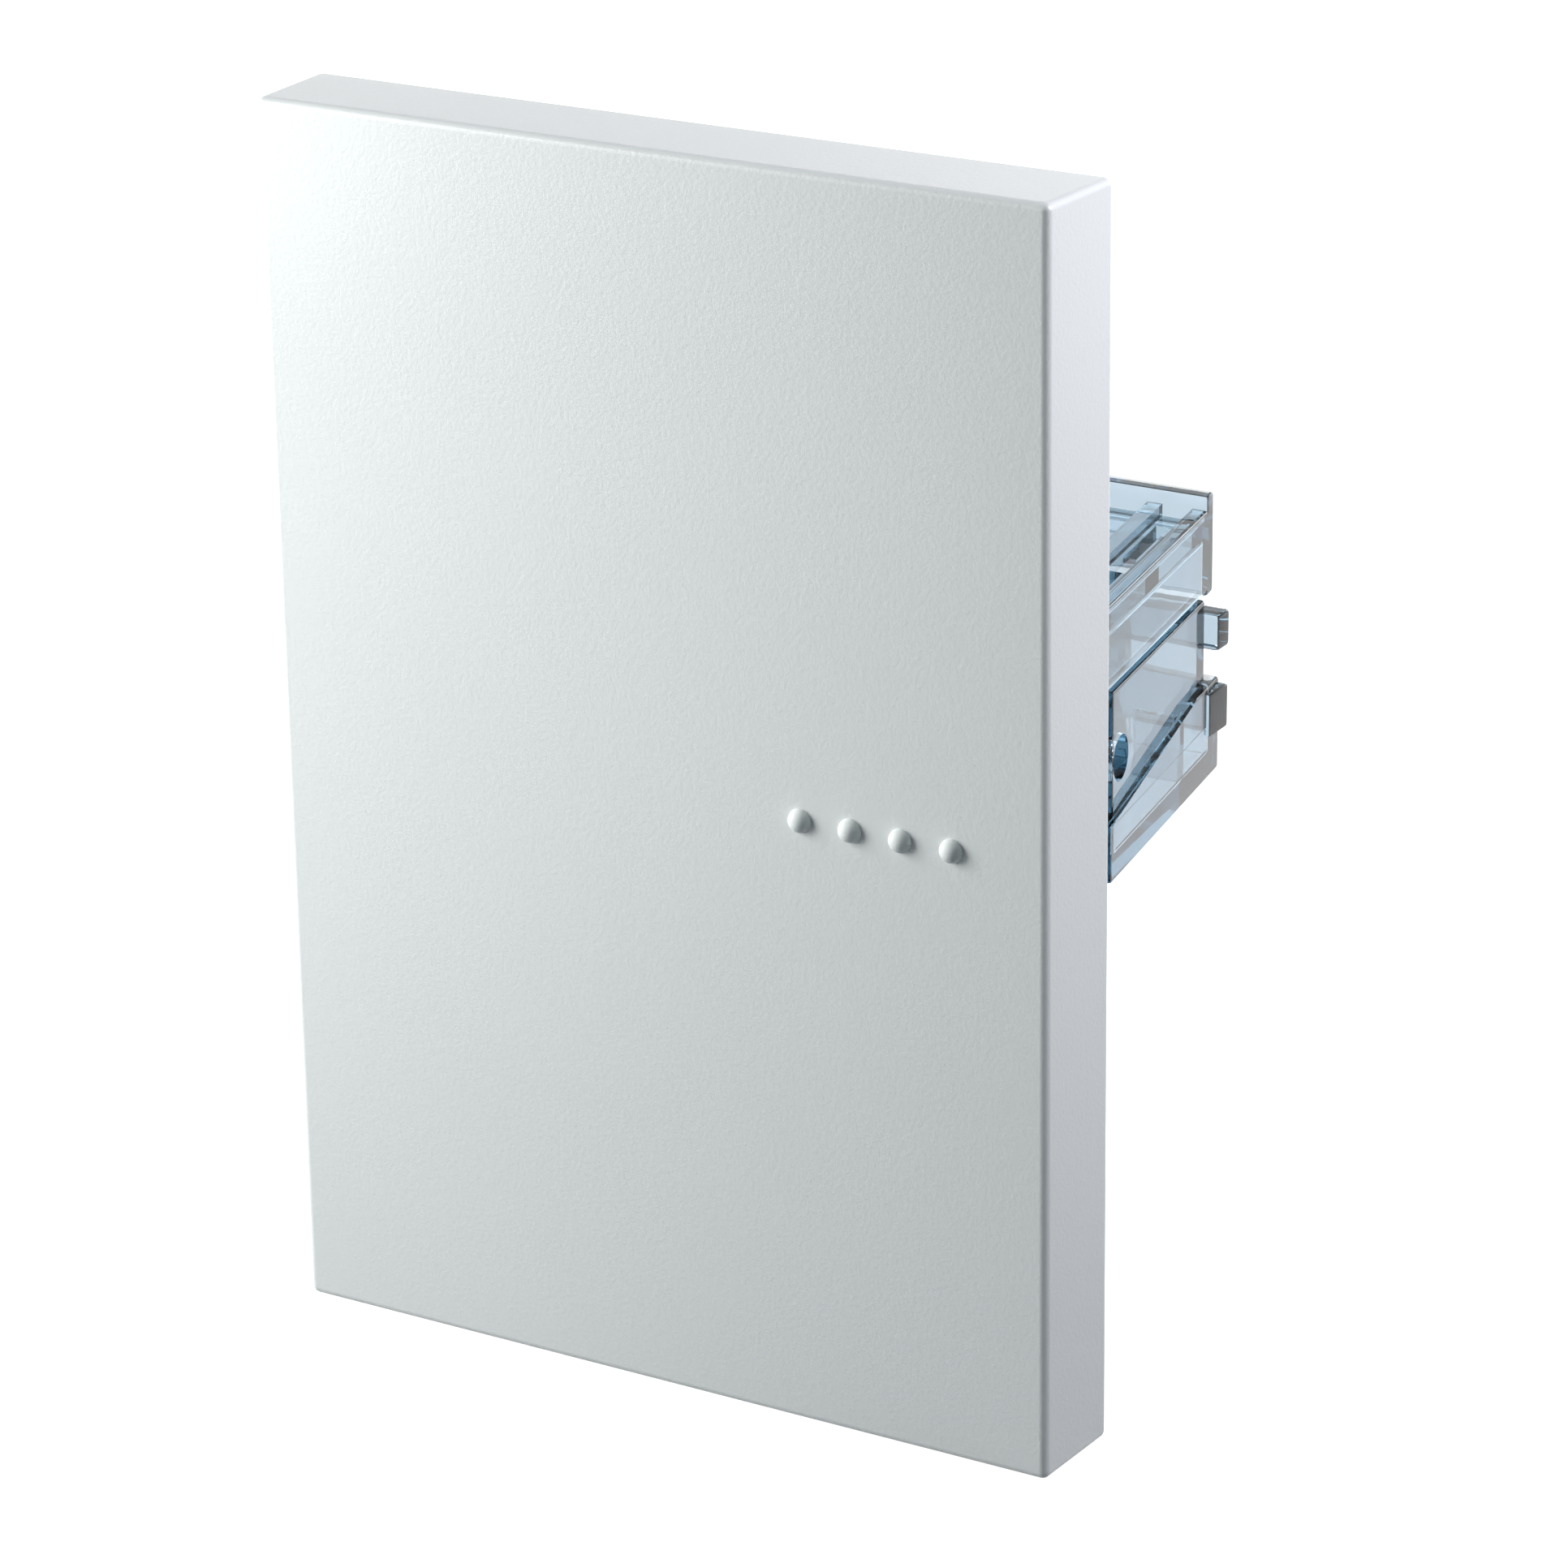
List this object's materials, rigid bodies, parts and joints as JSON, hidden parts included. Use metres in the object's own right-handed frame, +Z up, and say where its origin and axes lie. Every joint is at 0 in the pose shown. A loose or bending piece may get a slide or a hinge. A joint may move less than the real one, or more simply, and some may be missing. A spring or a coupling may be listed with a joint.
{
  "type": "flush wall battery unit",
  "caption": "Flush wall backup battery unit: slim satin cover plate with a row of small charge domes, and a clear battery housing behind it.",
  "frame": {"origin": "middle of the two wall screws, on the plane where the unit meets the wall", "axes": "+Z up, -Y out of the wall towards the room, +Y into the wall box, +X to the right as seen from the room"},
  "size_m": [0.083, 0.056, 0.12],
  "materials": {
    "cover_white": "satin white, fine grain, soft sheen",
    "dome_pearl": "satin translucent white light guide",
    "shield_grey": "matte dark grey",
    "led_white": "glossy pale resin",
    "board_green": "solder mask, satin",
    "ribbon_amber": "thin amber film",
    "chip_black": "moulded black epoxy",
    "ferrite_grey": "sintered ferrite",
    "can_aluminium": "sleeved can, satin",
    "screw_steel": "zinc plated",
    "terminal_grey": "matte light grey",
    "button_orange": "satin orange",
    "frame_grey": "matte light grey",
    "clip_steel": "bright spring steel",
    "clear_blue": "clear polycarbonate, faint blue",
    "pin_steel": "ground steel",
    "cell_sleeve": "shrink sleeve, glossy blue",
    "cell_metal": "nickel plated",
    "contact_brass": "bright contact brass",
    "strip_nickel": "nickel plated spring strip"
  },
  "bodies": {
    "root": {"light_shield": "shield_grey", "gauge_leds": "led_white", "gauge_board": "board_green", "gauge_ribbon": "ribbon_amber", "charge_board": "board_green", "charge_controller": "chip_black", "power_inductor": "ferrite_grey", "smoothing_capacitors": "can_aluminium", "board_screws": "screw_steel", "terminal_1": "terminal_grey", "terminal_2": "terminal_grey", "terminal_3": "terminal_grey", "terminal_4": "terminal_grey", "support_frame": "frame_grey", "cover_clips": "clip_steel", "housing_screws": "screw_steel", "rear_housing": "clear_blue", "lid_pin": "pin_steel", "latch_pin": "pin_steel", "cell_front": "cell_sleeve", "cell_rear": "cell_sleeve", "cell_caps": "cell_metal", "contact_springs": "contact_brass", "contact_strips": "strip_nickel", "contact_bridge": "contact_brass"},
    "cover": {"cover_plate": "cover_white", "gauge_dome_1": "dome_pearl", "gauge_dome_2": "dome_pearl", "gauge_dome_3": "dome_pearl", "gauge_dome_4": "dome_pearl"},
    "lid": {"battery_lid": "clear_blue"},
    "latch": {"latch_bar": "clear_blue"},
    "button_1": {"release_button_1": "button_orange"},
    "button_2": {"release_button_2": "button_orange"},
    "button_3": {"release_button_3": "button_orange"},
    "button_4": {"release_button_4": "button_orange"}
  },
  "joints": [
    {"name": "cover_pull", "type": "slide", "parent": "root", "child": "cover", "axis": [0, -1, 0], "range_m": [0, 0.014]},
    {"name": "lid_hinge", "type": "hinge", "parent": "root", "child": "lid", "pos_m": [0, 0.0065, 0.0125], "axis": [1, 0, 0], "range_deg": [0, 70]},
    {"name": "latch_tilt", "type": "hinge", "parent": "root", "child": "latch", "pos_m": [0, 0.0414, 0.002], "axis": [-1, 0, 0], "range_deg": [0, 25], "stiffness_Nm_per_rad": 0.02, "springref_deg": -5.73},
    {"name": "release_1", "type": "slide", "parent": "root", "child": "button_1", "axis": [0, -1, 0], "range_m": [0, 0.001], "stiffness_N_per_m": 400, "springref_m": -0.0005},
    {"name": "release_2", "type": "slide", "parent": "root", "child": "button_2", "axis": [0, -1, 0], "range_m": [0, 0.001], "stiffness_N_per_m": 400, "springref_m": -0.0005},
    {"name": "release_3", "type": "slide", "parent": "root", "child": "button_3", "axis": [0, -1, 0], "range_m": [0, 0.001], "stiffness_N_per_m": 400, "springref_m": -0.0005},
    {"name": "release_4", "type": "slide", "parent": "root", "child": "button_4", "axis": [0, -1, 0], "range_m": [0, 0.001], "stiffness_N_per_m": 400, "springref_m": -0.0005}
  ]
}
